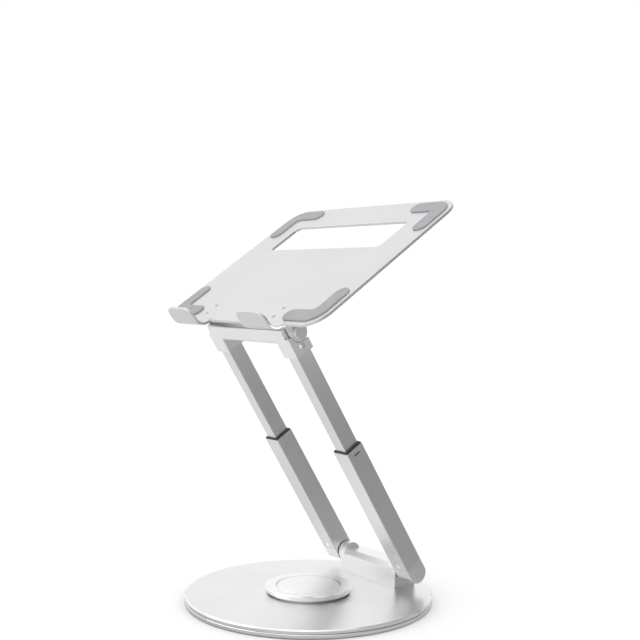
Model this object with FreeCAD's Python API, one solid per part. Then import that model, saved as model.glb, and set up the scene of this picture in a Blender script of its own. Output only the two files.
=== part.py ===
import FreeCAD, Part
import math
import os

# Telescoping laptop stand on a turning round base.  Millimetres, +X to the user's right,
# +Y away from the user, +Z up, origin at the centre of the base on the surface it stands on.

# ---- base and turntable ----
base_radius = 127.0
foot_proud = 1.0
foot_seat_depth = 1.0
foot_outer_radius = 118.0
foot_width = 14.0
lower_plate_thick = 3.6
plate_gap = 0.4
upper_plate_thick = 4.0
top_rim_chamfer = 1.2
small_rim_chamfer = 0.5

# ---- thrust bearing between the plates ----
bearing_radius = 62.0
race_width = 7.0
race_thick = 0.8
race_pocket_depth = 1.6
ball_radius = 1.15
ball_count = 28
cage_width = 5.0
cage_thick = 1.0

# ---- spindle ----
spindle_radius = 6.0
spindle_flange_radius = 14.0
spindle_flange_thick = 1.6
bush_wall = 2.0
spindle_washer_radius = 12.0
spindle_washer_thick = 0.8
spindle_nut_flats = 17.0
spindle_nut_height = 3.0

# ---- hub ----
hub_radius = 45.4
hub_height = 6.85
hub_foot_radius = 39.0
hub_foot_height = 1.7
hub_taper = 1.9
hub_top_chamfer = 0.9
hub_disc_radius = 32.8
hub_disc_thick = 2.0
hub_groove = 0.55
hub_cavity_radius = 15.5
hub_screw_circle = 24.0

# ---- lower hinge ----
lower_pivot_y = 88.3
lower_pivot_height = 19.9
block_half_width = 45.3
block_front_y = 78.0
block_back_y = 107.0
block_height = 24.3
block_bevel_start = 19.6
block_bevel_depth = 4.8
block_back_bevel = 2.0
block_foot_groove = 0.5
barrel_radius = 10.9
barrel_length = 10.2
shaft_radius = 4.0
shaft_end_wall = 4.0
friction_washer_thick = 1.0
block_screw_x = 28.0
block_screw_spacing_y = 15.0
block_screw_depth = 12.0
grub_x = 18.0
grub_radius = 2.0
grub_length = 6.0

# ---- arms ----
arm_angle = 57.8
arm_inner_x = 48.0
arm_section = 22.0
arm_corner = 1.2
lower_tube_wall = 1.3
knuckle_seam = 10.4
seam_groove_height = 0.5
seam_groove_depth = 0.4
lower_tube_top = 161.4
knuckle_screw_along = 14.1
collar_insert = 16.0
collar_lip_thick = 1.0
collar_lip_inset = 0.4
slot_along = 155.0
slot_length = 7.4
slot_width = 1.5
upper_tube_width = 15.0
upper_tube_depth = 18.0
upper_tube_wall = 1.2
upper_tube_corner = 0.9
shoe_length = 10.0
shoe_floor = 2.0

# ---- yoke and upper hinge ----
yoke_leg_bottom = 274.6
crossbar_bottom = 289.0
yoke_top = 306.0
yoke_round = 2.5
yoke_foot_chamfer = 0.3
crossbar_wall = 3.0
crossbar_front_wall = 4.6
crossbar_low_round = 4.2
crossbar_inner_round = 1.0
tube_socket_depth = 10.6
tube_screw_above_leg = 7.8
tube_screw_back = 0.2
upper_pivot_along = 296.0
upper_pivot_back = 3.9
pin_radius = 4.0
pin_head_radius = 7.3
pin_head_thick = 3.4
pin_nut_flats = 10.5
pin_nut_height = 3.6
pin_washer_radius = 7.6
pin_washer_thick = 0.9
ear_thick = 3.6
ear_radius = 9.8
ear_recess_gap = 0.6

# ---- tray ----
tray_tilt = 33.8
tray_width = 264.5
tray_depth = 216.0
tray_thick = 3.0
tray_corner = 24.0
tray_edge_round = 0.7
pivot_behind_edge = 20.3
pivot_below_top = 23.7
bracket_thick = 3.0
bracket_foot_width = 20.5
bracket_foot_start = 4.0
bracket_foot_end = 31.0
bracket_corner = 3.0
tray_screw_front = 10.7
tray_screw_rear = 24.3
tray_screw_x = 58.9
vent_half_width = 91.5
vent_start = 131.0
vent_end = 178.0
vent_corner = 6.6
hook_inner_x = 40.9
hook_width = 44.6
hook_bend_radius = 8.7
hook_lip_lean = 6.0
hook_lip_height = 23.0
hook_corner = 10.5
hook_root = 1.8
relief_radius = 1.5
pad_thick = 1.7
pad_margin = 5.0
pad_width = 17.0
pad_inner_corner = 6.0
pad_leg = 53.0
pad_edge_round = 0.6

# ---- fasteners: shank radius, head radius, head height ----
m3_radius = 1.5
m3_flat_head_radius = 3.0
m3_flat_head_height = 1.6
m3_button_radius = 3.4
m3_button_height = 2.0
rivet_head_radius = 3.3
rivet_head_height = 1.0
m5_radius = 2.5
m5_flat_head_radius = 4.6
m5_flat_head_height = 2.4

# ---- clearances ----
running_gap = 0.05
seat_gap = 0.02
slide_gap = 0.1
face_gap = 0.1
bearing_play = 0.1
stop_gap = 0.3
closed_gap = 5.6
ball_pocket_gap = 0.2

# ---- heights and places that follow from the sizes above ----
lower_plate_top = foot_proud + lower_plate_thick
upper_plate_bottom = lower_plate_top + plate_gap
base_top = upper_plate_bottom + upper_plate_thick
lower_race_bottom = lower_plate_top - race_pocket_depth
ball_seat = lower_race_bottom + race_thick
upper_race_bottom = ball_seat + 2 * ball_radius + bearing_play
upper_race_top = upper_race_bottom + race_thick
hub_top = base_top + hub_height
hub_floor_top = hub_top - hub_disc_thick
lower_pivot_z = base_top + lower_pivot_height
arm_half = arm_section / 2
arm_outer_x = arm_inner_x + arm_section
arm_mid_x = arm_inner_x + arm_half
bore_half = arm_half - lower_tube_wall
collar_top = lower_tube_top + collar_lip_thick
collar_bottom = lower_tube_top - collar_insert
shoe_top = collar_bottom - stop_gap
shoe_bottom = shoe_top - shoe_length
tube_travel = yoke_leg_bottom - collar_top - closed_gap
tongue_end = shoe_bottom - tube_travel - closed_gap
upper_tube_bottom = shoe_bottom + shoe_floor
upper_tube_top = yoke_leg_bottom + tube_socket_depth
ear_outer_x = arm_outer_x - 2 * face_gap
ear_inner_x = ear_outer_x - ear_thick
recess_floor_x = ear_inner_x - face_gap - pin_washer_thick
pin_head_x = ear_outer_x + face_gap
hook_outer_radius = hook_bend_radius + tray_thick
X_AXIS = FreeCAD.Vector(1, 0, 0)
Y_AXIS = FreeCAD.Vector(0, 1, 0)
Z_AXIS = FreeCAD.Vector(0, 0, 1)


# ---- small shape helpers ----
def vec(x, y, z):
    return FreeCAD.Vector(x, y, z)


def box(x0, x1, y0, y1, z0, z1):
    return Part.makeBox(x1 - x0, y1 - y0, z1 - z0, vec(x0, y0, z0))


def disc(radius, z0, z1, x=0.0, y=0.0):
    return Part.makeCylinder(radius, z1 - z0, vec(x, y, z0), Z_AXIS)


def ring(outer, inner, z0, z1):
    return disc(outer, z0, z1).cut(disc(inner, z0, z1))


def rod_x(radius, x0, x1, y, z):
    return Part.makeCylinder(radius, x1 - x0, vec(x0, y, z), X_AXIS)


def fused(shapes):
    return shapes[0].fuse(shapes[1:]).removeSplitter()


def extruded(points, direction):
    """Closed polygon pushed along a direction."""
    return Part.Face(Part.makePolygon(points + [points[0]])).extrude(direction)


def revolved(profile):
    """Closed (radius, height) profile turned about the Z axis."""
    points = [vec(r, 0, z) for r, z in profile]
    face = Part.Face(Part.makePolygon(points + [points[0]]))
    return face.revolve(vec(0, 0, 0), Z_AXIS, 360)


def parallel(edge, axis):
    if not isinstance(edge.Curve, (Part.Line, Part.LineSegment)):
        return False
    along = edge.Vertexes[-1].Point - edge.Vertexes[0].Point
    return along.cross(axis).Length < 1e-6 * max(along.Length, 1e-9)


def rounded_box(x0, x1, y0, y1, z0, z1, radius, axis=Z_AXIS):
    """Box whose edges along one axis are rounded."""
    block = box(x0, x1, y0, y1, z0, z1)
    return block.makeFillet(radius, [e for e in block.Edges if parallel(e, axis)])


def hex_prism(flats, height):
    corner = flats / math.sqrt(3)
    turns = [math.radians(60 * i) for i in range(6)]
    points = [vec(corner * math.cos(t), corner * math.sin(t), 0) for t in turns]
    return extruded(points, vec(0, 0, height))


def edges_at_height(shape, z):
    return [e for e in shape.Edges if abs(e.BoundBox.ZMin - z) < 1e-6 and abs(e.BoundBox.ZMax - z) < 1e-6]


def mirrored(shape):
    return shape.mirror(vec(0, 0, 0), X_AXIS)


def both_sides(shape):
    return Part.makeCompound([shape, mirrored(shape)])


def turned(shape, axis, angle):
    copy = shape.copy()
    copy.rotate(vec(0, 0, 0), axis, angle)
    return copy


def moved(shape, x, y, z):
    copy = shape.copy()
    copy.translate(vec(x, y, z))
    return copy


# ---- the two tilted frames ----
# Arm frame: Y is square to the arms and away from the user, Z runs up along them.
# Its origin is the lower pivot.
def on_arm(shape):
    copy = turned(shape, X_AXIS, 90 - arm_angle)
    copy.translate(vec(0, lower_pivot_y, lower_pivot_z))
    return copy


def arm_point(back, along):
    lean = math.radians(arm_angle)
    y = lower_pivot_y - along * math.cos(lean) + back * math.sin(lean)
    z = lower_pivot_z + along * math.sin(lean) + back * math.cos(lean)
    return y, z


# Tray frame: Y runs from the front edge to the rear, Z is square to the top surface.
# Its origin is the middle of the front edge on the top surface.
def on_tray(shape):
    tilt = math.radians(tray_tilt)
    pivot_y, pivot_z = arm_point(upper_pivot_back, upper_pivot_along)
    edge_y = pivot_y - pivot_behind_edge * math.cos(tilt) - pivot_below_top * math.sin(tilt)
    edge_z = pivot_z - pivot_behind_edge * math.sin(tilt) + pivot_below_top * math.cos(tilt)
    copy = turned(shape, X_AXIS, tray_tilt)
    copy.translate(vec(0, edge_y, edge_z))
    return copy


# ---- fasteners, drawn with the head's outer face at z = 0 and the shank pointing down ----
def hex_socket(flats, depth):
    return moved(hex_prism(flats, depth + 1), 0, 0, -depth)


def flat_screw(shank, head, head_height, length, socket):
    cone = Part.makeCone(shank, head, head_height, vec(0, 0, -head_height), Z_AXIS)
    body = cone.fuse(disc(shank, -length, -head_height)).removeSplitter()
    return body.cut(hex_socket(socket, head_height * 0.7))


def flat_screw_hole(shank, head, head_height, length):
    cone = Part.makeCone(shank + seat_gap, head + seat_gap, head_height, vec(0, 0, -head_height), Z_AXIS)
    top = disc(head + seat_gap, 0, head_height)
    return fused([cone, disc(shank + seat_gap, -length, -head_height), top])


def button_screw(shank, head, head_height, length, socket):
    """Domed head standing on z = 0."""
    dome_radius = (head * head + head_height * head_height) / (2 * head_height)
    ball = Part.makeSphere(dome_radius, vec(0, 0, head_height - dome_radius))
    dome = ball.common(disc(head, 0, head_height + 1))
    body = dome.fuse(disc(shank, -length, 0)).removeSplitter()
    if socket:
        body = body.cut(moved(hex_prism(socket, head_height), 0, 0, head_height * 0.35))
    return body


# ---- base ----
def foot_ring():
    inner = foot_outer_radius - foot_width
    body = ring(foot_outer_radius - seat_gap, inner + seat_gap, 0, foot_proud + foot_seat_depth)
    return body.makeChamfer(0.3, edges_at_height(body, 0))


def lower_plate():
    body = disc(base_radius, foot_proud, lower_plate_top)
    rims = edges_at_height(body, foot_proud) + edges_at_height(body, lower_plate_top)
    body = body.makeChamfer(small_rim_chamfer, rims)
    foot_inner = foot_outer_radius - foot_width
    body = body.cut(ring(foot_outer_radius, foot_inner, foot_proud - 1, foot_proud + foot_seat_depth))
    body = body.cut(disc(spindle_radius + seat_gap, 0, lower_plate_top + 1))
    flange_top = foot_proud + spindle_flange_thick
    body = body.cut(disc(spindle_flange_radius + seat_gap, 0, flange_top))
    return body.cut(race_ring(lower_race_bottom, lower_plate_top + 1, seat_gap))


def race_ring(z0, z1, gap=0.0):
    half = race_width / 2 + gap
    return ring(bearing_radius + half, bearing_radius - half, z0, z1)


def bearing_lower_race():
    return race_ring(lower_race_bottom, lower_race_bottom + race_thick)


def bearing_upper_race():
    return race_ring(upper_race_bottom, upper_race_top)


def ball_places():
    step = 2 * math.pi / ball_count
    return [(bearing_radius * math.cos(i * step), bearing_radius * math.sin(i * step)) for i in range(ball_count)]


def bearing_cage():
    middle = ball_seat + ball_radius
    half = cage_width / 2
    low, high = middle - cage_thick / 2, middle + cage_thick / 2
    body = ring(bearing_radius + half, bearing_radius - half, low, high)
    holes = [disc(ball_radius + ball_pocket_gap, low - 1, high + 1, x, y) for x, y in ball_places()]
    return body.cut(Part.makeCompound(holes))


def bearing_balls():
    height = ball_seat + ball_radius
    return Part.makeCompound([Part.makeSphere(ball_radius, vec(x, y, height)) for x, y in ball_places()])


def spindle_washer_bottom():
    return base_top + face_gap


def spindle_nut_bottom():
    return spindle_washer_bottom() + spindle_washer_thick


def spindle():
    flange = disc(spindle_flange_radius, foot_proud, foot_proud + spindle_flange_thick)
    post_top = spindle_nut_bottom() + spindle_nut_height + 0.4
    post = disc(spindle_radius, foot_proud, post_top)
    post = post.makeChamfer(0.4, edges_at_height(post, post_top))
    return fused([flange, post])


def spindle_bush():
    inner = spindle_radius + running_gap
    return ring(inner + bush_wall, inner, upper_plate_bottom, base_top)


def spindle_washer():
    bottom = spindle_washer_bottom()
    return ring(spindle_washer_radius, spindle_radius + running_gap, bottom, bottom + spindle_washer_thick)


def spindle_nut():
    body = moved(hex_prism(spindle_nut_flats, spindle_nut_height), 0, 0, spindle_nut_bottom())
    return body.cut(disc(spindle_radius + seat_gap, 0, hub_top))


# ---- turntable ----
def hub_screw_places():
    turns = [math.radians(45 + 90 * i) for i in range(4)]
    return [(hub_screw_circle * math.cos(t), hub_screw_circle * math.sin(t)) for t in turns]


def block_screw_places():
    middle = (block_front_y + block_back_y) / 2
    half = block_screw_spacing_y / 2
    return [(x, y) for x in (-block_screw_x, block_screw_x) for y in (middle - half, middle + half)]


def hub_screw_length():
    return hub_floor_top - base_top + upper_plate_thick - 0.8


def block_screw_length():
    return upper_plate_thick + block_screw_depth


def block_screw_hole(x, y):
    hole = flat_screw_hole(m5_radius, m5_flat_head_radius, m5_flat_head_height, block_screw_length() + 0.5)
    return moved(turned(hole, X_AXIS, 180), x, y, upper_plate_bottom)


def hub_screw_hole(x, y):
    hole = flat_screw_hole(m3_radius, m3_flat_head_radius, m3_flat_head_height, hub_screw_length() + 0.3)
    return moved(hole, x, y, hub_floor_top)


def upper_plate():
    body = disc(base_radius, upper_plate_bottom, base_top)
    body = body.makeChamfer(small_rim_chamfer, edges_at_height(body, upper_plate_bottom))
    body = body.makeChamfer(top_rim_chamfer, edges_at_height(body, base_top))
    body = body.cut(disc(spindle_radius + running_gap + bush_wall + seat_gap, 0, base_top + 1))
    body = body.cut(race_ring(upper_plate_bottom - 1, upper_race_top, seat_gap))
    holes = [hub_screw_hole(x, y) for x, y in hub_screw_places()]
    holes += [block_screw_hole(x, y) for x, y in block_screw_places()]
    return body.cut(Part.makeCompound(holes))


def hub_cap():
    foot_top = base_top + hub_foot_height
    seat_radius = hub_disc_radius + hub_groove
    profile = [
        (hub_cavity_radius, base_top),
        (hub_foot_radius, base_top),
        (hub_foot_radius, foot_top),
        (hub_radius - hub_taper, foot_top),
        (hub_radius, hub_top - hub_top_chamfer),
        (hub_radius - hub_top_chamfer, hub_top),
        (seat_radius, hub_top),
        (seat_radius, hub_floor_top),
        (hub_cavity_radius, hub_floor_top),
    ]
    holes = [hub_screw_hole(x, y) for x, y in hub_screw_places()]
    return revolved(profile).cut(Part.makeCompound(holes))


def hub_disc():
    body = disc(hub_disc_radius, hub_floor_top, hub_top)
    return body.makeChamfer(0.3, edges_at_height(body, hub_top))


def hub_screws():
    screw = flat_screw(m3_radius, m3_flat_head_radius, m3_flat_head_height, hub_screw_length(), 2.0)
    return Part.makeCompound([moved(screw, x, y, hub_floor_top) for x, y in hub_screw_places()])


def block_foot_line():
    """Narrow shadow line round the foot of the hinge block."""
    half, depth, top = block_half_width, block_foot_groove, base_top + block_foot_groove
    outside = box(-half - 1, half + 1, block_front_y - 1, block_back_y + 1, base_top - 1, top)
    inside = box(-half + depth, half - depth, block_front_y + depth, block_back_y - depth, base_top - 1, top)
    return outside.cut(inside)


def hinge_block():
    top = base_top + block_height
    profile = [
        (block_front_y, base_top),
        (block_front_y, base_top + block_bevel_start),
        (block_front_y + block_bevel_depth, top),
        (block_back_y - block_back_bevel, top),
        (block_back_y, top - block_back_bevel),
        (block_back_y, base_top),
    ]
    points = [vec(-block_half_width, y, z) for y, z in profile]
    body = extruded(points, vec(2 * block_half_width, 0, 0))
    ends = [e for e in body.Edges if not parallel(e, X_AXIS) and e.BoundBox.ZMax > base_top + 1]
    body = body.makeChamfer(0.6, ends)
    body = body.cut(block_foot_line())
    barrel_end = arm_inner_x - face_gap - friction_washer_thick
    barrel = rod_x(barrel_radius, barrel_end - barrel_length, barrel_end, lower_pivot_y, lower_pivot_z)
    body = fused([body, barrel, mirrored(barrel)])
    body = body.cut(rod_x(shaft_radius + seat_gap, -100, 100, lower_pivot_y, lower_pivot_z))
    holes = [block_screw_hole(x, y) for x, y in block_screw_places()]
    for x in (-grub_x, grub_x):
        holes.append(disc(grub_radius + seat_gap, base_top - 1, lower_pivot_z, x, lower_pivot_y))
    return body.cut(Part.makeCompound(holes))


def block_screws():
    screw = flat_screw(m5_radius, m5_flat_head_radius, m5_flat_head_height, block_screw_length(), 3.0)
    screw = turned(screw, X_AXIS, 180)
    return Part.makeCompound([moved(screw, x, y, upper_plate_bottom) for x, y in block_screw_places()])


def lower_hinge_shaft():
    end = arm_outer_x - shaft_end_wall - 0.2
    body = rod_x(shaft_radius, -end, end, lower_pivot_y, lower_pivot_z)
    return body.makeChamfer(0.4, [e for e in body.Edges if abs(e.BoundBox.XLength) < 1e-6])


def shaft_grub_screws():
    top = lower_pivot_z - shaft_radius
    screw = disc(grub_radius, top - grub_length, top - seat_gap, grub_x, lower_pivot_y)
    socket = moved(hex_prism(2.0, 2.5), grub_x, lower_pivot_y, top - grub_length)
    return both_sides(screw.cut(socket))


def friction_washers():
    outer = arm_inner_x - face_gap
    inner = outer - friction_washer_thick
    body = rod_x(arm_half, inner, outer, lower_pivot_y, lower_pivot_z)
    return both_sides(body.cut(rod_x(shaft_radius + seat_gap, inner, outer, lower_pivot_y, lower_pivot_z)))


# ---- arms, in the arm frame, right-hand side ----
def arm_bar(z0, z1, inset=0.0, corner=arm_corner):
    return rounded_box(
        arm_inner_x + inset, arm_outer_x - inset, inset - arm_half, arm_half - inset, z0, z1, corner
    )


def upper_section(z0, z1, gap=0.0, corner=upper_tube_corner):
    half_x = upper_tube_width / 2 + gap
    half_y = upper_tube_depth / 2 + gap
    return rounded_box(arm_mid_x - half_x, arm_mid_x + half_x, -half_y, half_y, z0, z1, corner)


def knuckle_rivet_hole():
    hole = disc(m3_radius + seat_gap, -arm_half, arm_half)
    hole = turned(hole, X_AXIS, 90)
    return moved(hole, arm_mid_x, -arm_half, knuckle_screw_along)


def lower_knuckle():
    bar = arm_bar(-arm_half, knuckle_seam)
    round_end = rod_x(arm_half, arm_inner_x - 1, arm_outer_x + 1, 0, 0)
    keep = round_end.fuse(box(arm_inner_x - 1, arm_outer_x + 1, -arm_half, arm_half, 0, knuckle_seam))
    head = bar.common(keep)
    tongue_inset = lower_tube_wall + seat_gap
    tongue = arm_bar(knuckle_seam - 1, tongue_end, tongue_inset, 0.5)
    body = fused([head, tongue])
    body = body.cut(rod_x(shaft_radius + running_gap, arm_inner_x - 1, arm_outer_x - shaft_end_wall, 0, 0))
    return body.cut(knuckle_rivet_hole())


def knuckle_screw():
    screw = button_screw(m3_radius, rivet_head_radius, rivet_head_height, 6.0, 0)
    return moved(turned(screw, X_AXIS, 90), arm_mid_x, -arm_half, knuckle_screw_along)


def lower_tube():
    groove_top = knuckle_seam + seam_groove_height
    foot = arm_bar(knuckle_seam, groove_top, seam_groove_depth)
    body = fused([foot, arm_bar(groove_top, lower_tube_top)])
    body = body.cut(arm_bar(knuckle_seam - 1, lower_tube_top + 1, lower_tube_wall, 0.5))
    body = body.cut(knuckle_rivet_hole())
    slot_z = slot_along - slot_width / 2
    slot = rounded_box(
        arm_outer_x - 2 * lower_tube_wall + 0.1, arm_outer_x + 1,
        -slot_length / 2, slot_length / 2, slot_z, slot_z + slot_width, slot_width * 0.45, X_AXIS,
    )
    return body.cut(slot)


def collar():
    insert = arm_bar(collar_bottom, lower_tube_top, lower_tube_wall + seat_gap, 0.5)
    lip = arm_bar(lower_tube_top, collar_top, collar_lip_inset, arm_corner - 0.2)
    lip = lip.makeChamfer(0.3, edges_at_height(lip, collar_top))
    body = fused([insert, lip])
    return body.cut(upper_section(collar_bottom - 1, collar_top + 1, slide_gap))


def glide_shoe():
    body = arm_bar(shoe_bottom, shoe_top, lower_tube_wall + slide_gap, 0.5)
    return body.cut(upper_section(upper_tube_bottom, shoe_top + 1, seat_gap))


def upper_tube():
    body = upper_section(upper_tube_bottom, upper_tube_top)
    half_x = upper_tube_width / 2 - upper_tube_wall
    half_y = upper_tube_depth / 2 - upper_tube_wall
    bore = box(
        arm_mid_x - half_x, arm_mid_x + half_x, -half_y, half_y, upper_tube_bottom - 1, upper_tube_top + 1
    )
    return body.cut(bore).cut(tube_screw_hole())


def tube_screw_hole():
    z = yoke_leg_bottom + tube_screw_above_leg
    return rod_x(m3_radius + seat_gap, arm_mid_x, arm_outer_x + 1, tube_screw_back, z)


def tube_screw():
    screw = button_screw(m3_radius, m3_button_radius, m3_button_height, arm_half - 2.0, 2.0)
    z = yoke_leg_bottom + tube_screw_above_leg
    return moved(turned(screw, Y_AXIS, 90), arm_outer_x, tube_screw_back, z)


# ---- yoke, in the arm frame ----
def yoke_profile(x0, x1, z0):
    """Side outline of the yoke with its two top edges rounded."""
    block = box(x0, x1, -arm_half, arm_half, z0, yoke_top)
    tops = [e for e in block.Edges if parallel(e, X_AXIS) and e.BoundBox.ZMin > yoke_top - 1]
    return block.makeFillet(yoke_round, tops)


def yoke_leg():
    bar = arm_bar(yoke_leg_bottom, yoke_top + 1)
    bar = bar.makeChamfer(yoke_foot_chamfer, edges_at_height(bar, yoke_leg_bottom))
    body = bar.common(yoke_profile(arm_inner_x - 1, arm_outer_x + 1, yoke_leg_bottom - 1))
    body = body.cut(upper_section(yoke_leg_bottom - 1, upper_tube_top + seat_gap, seat_gap))
    body = body.cut(tube_screw_hole())
    return body.cut(ear_recess())


def ear_recess():
    """Round seat for the bracket's ear, open above the pivot and to the rear where the ear sweeps."""
    radius = ear_radius + ear_recess_gap
    reach = 2 * arm_section
    x0, x1 = recess_floor_x, arm_outer_x + 1
    seat = rod_x(radius, x0, x1, 0, 0)
    upward = box(x0, x1, -reach, reach, 0, reach)
    rearward = box(x0, x1, 0, reach, -radius, reach)
    return moved(fused([seat, upward, rearward]), 0, upper_pivot_back, upper_pivot_along)


def crossbar():
    body = yoke_profile(-arm_inner_x - 1, arm_inner_x + 1, crossbar_bottom)
    inner_top = yoke_top - crossbar_wall
    room = box(-100, 100, crossbar_front_wall - arm_half, 100, 0, inner_top)
    edge = [e for e in room.Edges if parallel(e, X_AXIS) and e.BoundBox.ZMin > 1 and e.BoundBox.YMax < 0]
    room = room.makeFillet(crossbar_inner_round, edge)
    body = body.cut(room)
    low = [e for e in edges_at_height(body, crossbar_bottom) if parallel(e, X_AXIS)]
    front = [e for e in low if e.BoundBox.YMax < 1 - arm_half]
    return body.makeFillet(crossbar_low_round, front)


def yoke():
    leg = yoke_leg()
    body = fused([crossbar(), leg, mirrored(leg)])
    bore = rod_x(pin_radius + seat_gap, -100, 100, upper_pivot_back, upper_pivot_along)
    return body.cut(bore)


def upper_hinge_pin():
    """Pin whose head stands outside the bracket's ear and whose end carries the nut."""
    head = rod_x(pin_head_radius, pin_head_x, pin_head_x + pin_head_thick, 0, 0)
    rims = [e for e in head.Edges if abs(e.BoundBox.XLength) < 1e-6 and e.BoundBox.XMin > pin_head_x + 1]
    head = head.makeChamfer(0.6, rims)
    shank = rod_x(pin_radius, arm_inner_x - pin_nut_height - 0.8, pin_head_x + 1, 0, 0)
    return moved(fused([head, shank]), 0, upper_pivot_back, upper_pivot_along)


def pin_washer():
    x0, x1 = recess_floor_x, recess_floor_x + pin_washer_thick
    body = rod_x(pin_washer_radius, x0, x1, 0, 0).cut(rod_x(pin_radius + seat_gap, x0, x1, 0, 0))
    return moved(body, 0, upper_pivot_back, upper_pivot_along)


def pin_nut():
    nut = turned(hex_prism(pin_nut_flats, pin_nut_height), Y_AXIS, -90)
    body = moved(nut, arm_inner_x, 0, 0)
    body = body.cut(rod_x(pin_radius + seat_gap, 0, arm_inner_x + 1, 0, 0))
    return moved(body, 0, upper_pivot_back, upper_pivot_along)


# ---- tray, in the tray frame ----
def tray_screw_places():
    return [(x, y) for x in (-tray_screw_x, tray_screw_x) for y in (tray_screw_front, tray_screw_rear)]


def tray_screw_hole(x, y):
    length = tray_thick + bracket_thick + 1
    return moved(flat_screw_hole(m3_radius, m3_flat_head_radius, m3_flat_head_height, length), x, y, 0)


def hook():
    """Strip of the tray bent up from its front edge: root, bend and leaning lip."""
    bend = math.radians(90 - hook_lip_lean)
    centre_y, centre_z = -hook_root, hook_bend_radius

    def on_bend(radius, angle):
        return vec(0, centre_y - radius * math.sin(angle), centre_z - radius * math.cos(angle))

    inner_end, outer_end = on_bend(hook_bend_radius, bend), on_bend(hook_outer_radius, bend)
    lip = (hook_lip_height - inner_end.z) / math.sin(bend)
    rise = vec(0, -math.cos(bend) * lip, math.sin(bend) * lip)
    overlap = hook_root + relief_radius
    start_in, start_out = vec(0, overlap, 0), vec(0, overlap, -tray_thick)
    root_in, root_out = on_bend(hook_bend_radius, 0), on_bend(hook_outer_radius, 0)
    middle_in, middle_out = on_bend(hook_bend_radius, bend / 2), on_bend(hook_outer_radius, bend / 2)
    edges = [
        Part.makeLine(start_in, root_in),
        Part.Arc(root_in, middle_in, inner_end).toShape(),
        Part.makeLine(inner_end, inner_end + rise),
        Part.makeLine(inner_end + rise, outer_end + rise),
        Part.makeLine(outer_end + rise, outer_end),
        Part.Arc(outer_end, middle_out, root_out).toShape(),
        Part.makeLine(root_out, start_out),
        Part.makeLine(start_out, start_in),
    ]
    body = Part.Face(Part.Wire(edges)).extrude(vec(hook_width, 0, 0))
    body.translate(vec(hook_inner_x, 0, 0))
    across = outer_end - inner_end
    tip = (inner_end + rise).z - tray_thick
    corners = [e for e in body.Edges if parallel(e, across) and e.BoundBox.ZMin > tip]
    body = body.makeFillet(hook_corner, corners)
    rims = [e for e in body.Edges if e.BoundBox.ZMax > hook_bend_radius and not parallel(e, across)]
    rims = [e for e in rims if e.BoundBox.XLength > 1e-6 and e.BoundBox.ZMin > hook_bend_radius + 4]
    return body.makeFillet(tray_edge_round, rims)


def hook_reliefs():
    cuts = []
    for x in (hook_inner_x - relief_radius, hook_inner_x + hook_width + relief_radius):
        cuts.append(disc(relief_radius, -tray_thick - 1, 1, x, 0.8 * relief_radius))
        cuts.append(box(x - relief_radius, x + relief_radius, -5, 0.8 * relief_radius, -tray_thick - 1, 1))
    return cuts


def tray_plate():
    half = tray_width / 2
    body = rounded_box(-half, half, 0, tray_depth, -tray_thick, 0, tray_corner)
    body = body.cut(
        rounded_box(
            -vent_half_width, vent_half_width, vent_start, vent_end, -tray_thick - 1, 1, vent_corner
        )
    )
    rims = edges_at_height(body, 0) + edges_at_height(body, -tray_thick)
    body = body.makeFillet(tray_edge_round, rims)
    cuts = hook_reliefs()
    cuts += [mirrored(c) for c in hook_reliefs()]
    cuts += [tray_screw_hole(x, y) for x, y in tray_screw_places()]
    strip = hook()
    body = body.cut(Part.makeCompound(cuts))
    return fused([body, strip, mirrored(strip)])


def tray_bracket():
    foot_x0 = ear_outer_x - bracket_foot_width
    foot_bottom = -tray_thick - bracket_thick
    foot = box(foot_x0, ear_outer_x, bracket_foot_start, bracket_foot_end, foot_bottom, -tray_thick)
    corners = [e for e in foot.Edges if parallel(e, Z_AXIS) and e.BoundBox.XMax < ear_inner_x]
    foot = foot.makeFillet(bracket_corner, corners)
    y0, y1 = pivot_behind_edge - ear_radius, pivot_behind_edge + ear_radius
    ear = box(ear_inner_x, ear_outer_x, y0, y1, -pivot_below_top, -tray_thick)
    end = rod_x(ear_radius, ear_inner_x, ear_outer_x, pivot_behind_edge, -pivot_below_top)
    body = fused([foot, ear, end])
    bore = rod_x(pin_radius + running_gap, 0, 100, pivot_behind_edge, -pivot_below_top)
    holes = [tray_screw_hole(x, y) for x, y in tray_screw_places() if x > 0]
    return body.cut(bore).cut(Part.makeCompound(holes))


def tray_screws():
    length = tray_thick + bracket_thick
    screw = flat_screw(m3_radius, m3_flat_head_radius, m3_flat_head_height, length, 2.0)
    return Part.makeCompound([moved(screw, x, y, 0) for x, y in tray_screw_places()])


def corner_pad():
    """L-shaped pad that follows the front right corner of the tray."""
    half = tray_width / 2
    inner = pad_margin + pad_width
    far = tray_depth
    outline = rounded_box(
        -half + pad_margin, half - pad_margin, pad_margin, far, 0, pad_thick, tray_corner - pad_margin
    )
    room = rounded_box(-half + inner, half - inner, inner, far + 99, -1, pad_thick + 1, pad_inner_corner)
    radius = pad_width / 2
    tip_x = half - pad_margin - pad_leg + radius
    tip_y = pad_margin + pad_leg - radius
    front_leg = box(tip_x, half, 0, inner, -1, pad_thick + 1)
    side_leg = box(half - inner, half, 0, tip_y, -1, pad_thick + 1)
    elbow = box(half - inner - pad_inner_corner, half, 0, inner + pad_inner_corner, -1, pad_thick + 1)
    strip = outline.cut(room).common(fused([front_leg, side_leg, elbow]))
    front_tip = disc(radius, 0, pad_thick, tip_x, pad_margin + radius)
    side_tip = disc(radius, 0, pad_thick, half - pad_margin - radius, tip_y)
    body = fused([strip, front_tip, side_tip])
    return body.makeFillet(pad_edge_round, edges_at_height(body, pad_thick))


def rear_pad():
    """The same pad turned over front to back for a rear corner."""
    return moved(corner_pad().mirror(vec(0, 0, 0), Y_AXIS), 0, tray_depth, 0)


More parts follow.
